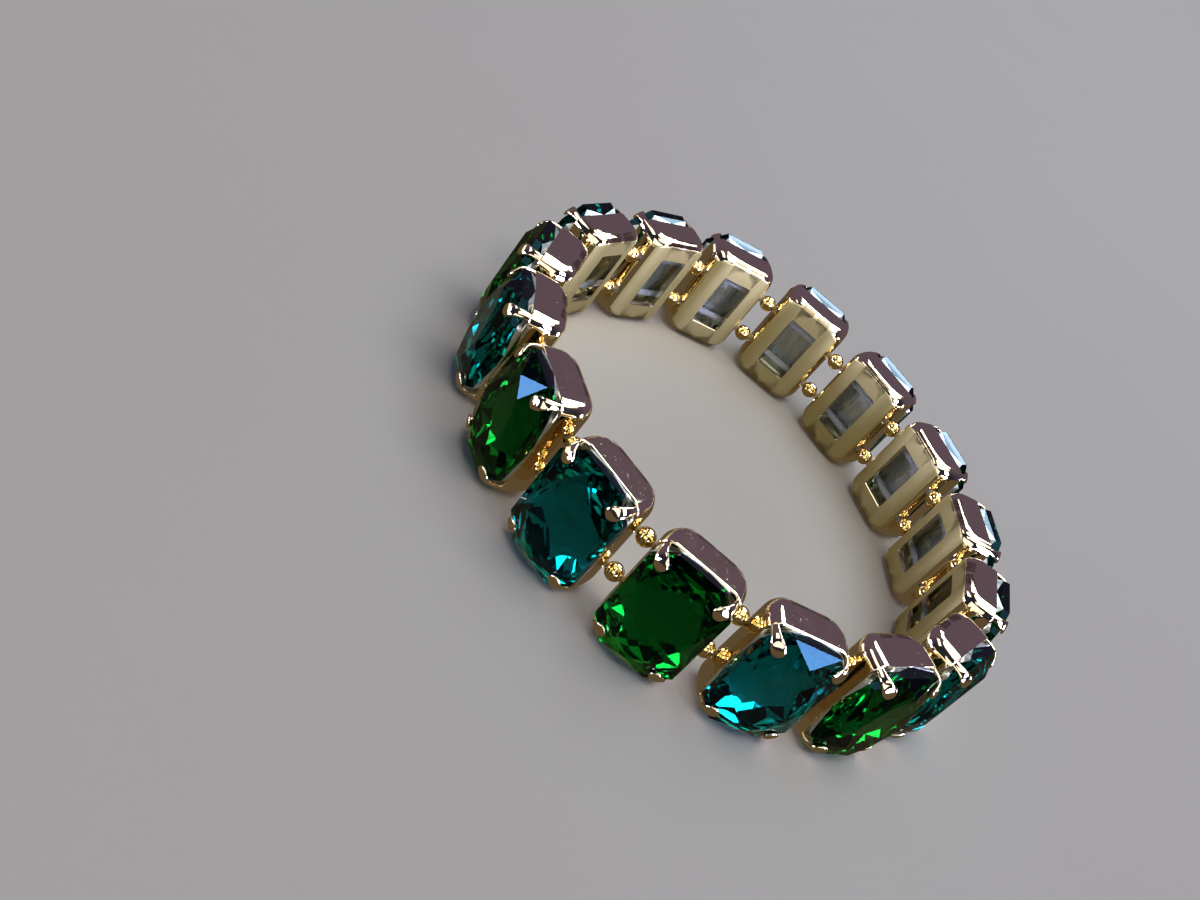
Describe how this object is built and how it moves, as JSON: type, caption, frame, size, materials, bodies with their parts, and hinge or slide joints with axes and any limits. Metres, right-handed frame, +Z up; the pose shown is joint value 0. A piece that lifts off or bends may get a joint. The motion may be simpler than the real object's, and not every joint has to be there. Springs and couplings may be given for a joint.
{
  "type": "crystal stretch bracelet",
  "caption": "Stretch bracelet of octagon glass stones in gold claw settings, strung side by side on clear elastic cords with round gold beads in the gaps.",
  "frame": {"origin": "middle of the bounding box, on the surface that the bracelet lies on", "axes": "+Z up along the wrist's axis, as the bracelet lies flat; +X and +Y lie in the surface"},
  "size_m": [0.071, 0.0736, 0.014],
  "materials": {
    "setting_gold": "polished end and side walls and claws, satin back plate",
    "emerald_glass": "faceted, polished, mirror-foiled behind",
    "teal_glass": "faceted, polished, mirror-foiled behind",
    "bead_gold": "polished round beads on clear elastic cord",
    "elastic_cord": "clear, faintly fibrous elastic"
  },
  "bodies": {
    "root": {"setting_01": "setting_gold", "setting_02": "setting_gold", "setting_03": "setting_gold", "setting_04": "setting_gold", "setting_05": "setting_gold", "setting_06": "setting_gold", "setting_07": "setting_gold", "setting_08": "setting_gold", "setting_09": "setting_gold", "setting_10": "setting_gold", "setting_11": "setting_gold", "setting_12": "setting_gold", "setting_13": "setting_gold", "setting_14": "setting_gold", "setting_15": "setting_gold", "setting_16": "setting_gold", "stone_01": "emerald_glass", "stone_02": "teal_glass", "stone_03": "emerald_glass", "stone_04": "teal_glass", "stone_05": "emerald_glass", "stone_06": "teal_glass", "stone_07": "emerald_glass", "stone_08": "teal_glass", "stone_09": "emerald_glass", "stone_10": "teal_glass", "stone_11": "emerald_glass", "stone_12": "teal_glass", "stone_13": "emerald_glass", "stone_14": "teal_glass", "stone_15": "emerald_glass", "stone_16": "teal_glass", "strand_upper": "bead_gold", "strand_lower": "bead_gold"}
  },
  "joints": []
}
